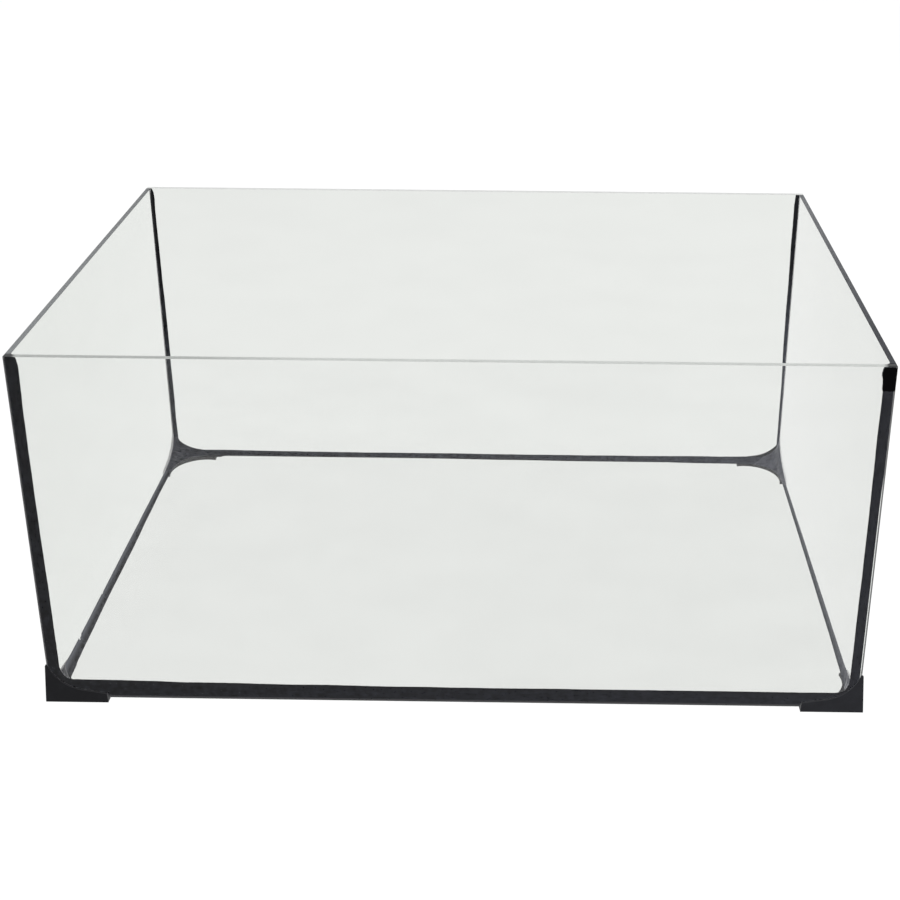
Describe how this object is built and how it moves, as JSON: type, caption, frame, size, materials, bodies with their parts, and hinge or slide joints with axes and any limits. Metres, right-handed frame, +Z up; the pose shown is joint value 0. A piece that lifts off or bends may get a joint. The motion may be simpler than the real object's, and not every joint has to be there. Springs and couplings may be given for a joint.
{
  "type": "glass aquarium tank",
  "caption": "Open-topped rectangular glass tank with bonded panes, dark silicone seams and swept plastic corner feet.",
  "frame": {"origin": "centre of the footprint, on the surface that the feet stand on", "axes": "+Z up, +X along the tank's width, -Y towards the front pane"},
  "size_m": [0.606, 0.406, 0.2775],
  "materials": {
    "float_glass": "clear float glass with ground edges",
    "black_silicone": "tooled, semi-gloss",
    "smeared_silicone": "thin finger-smeared film, semi-gloss",
    "foot_plastic": "fine moulded satin"
  },
  "bodies": {
    "root": {"front_pane": "float_glass", "rear_pane": "float_glass", "left_pane": "float_glass", "right_pane": "float_glass", "base_pane": "float_glass", "front_base_seam": "black_silicone", "rear_base_seam": "black_silicone", "left_base_seam": "black_silicone", "right_base_seam": "black_silicone", "front_left_seam": "black_silicone", "front_right_seam": "black_silicone", "rear_left_seam": "black_silicone", "rear_right_seam": "black_silicone", "front_left_corner_patch": "smeared_silicone", "front_right_corner_patch": "smeared_silicone", "rear_left_corner_patch": "smeared_silicone", "rear_right_corner_patch": "smeared_silicone", "front_left_foot": "foot_plastic", "front_right_foot": "foot_plastic", "rear_left_foot": "foot_plastic", "rear_right_foot": "foot_plastic"}
  },
  "joints": []
}
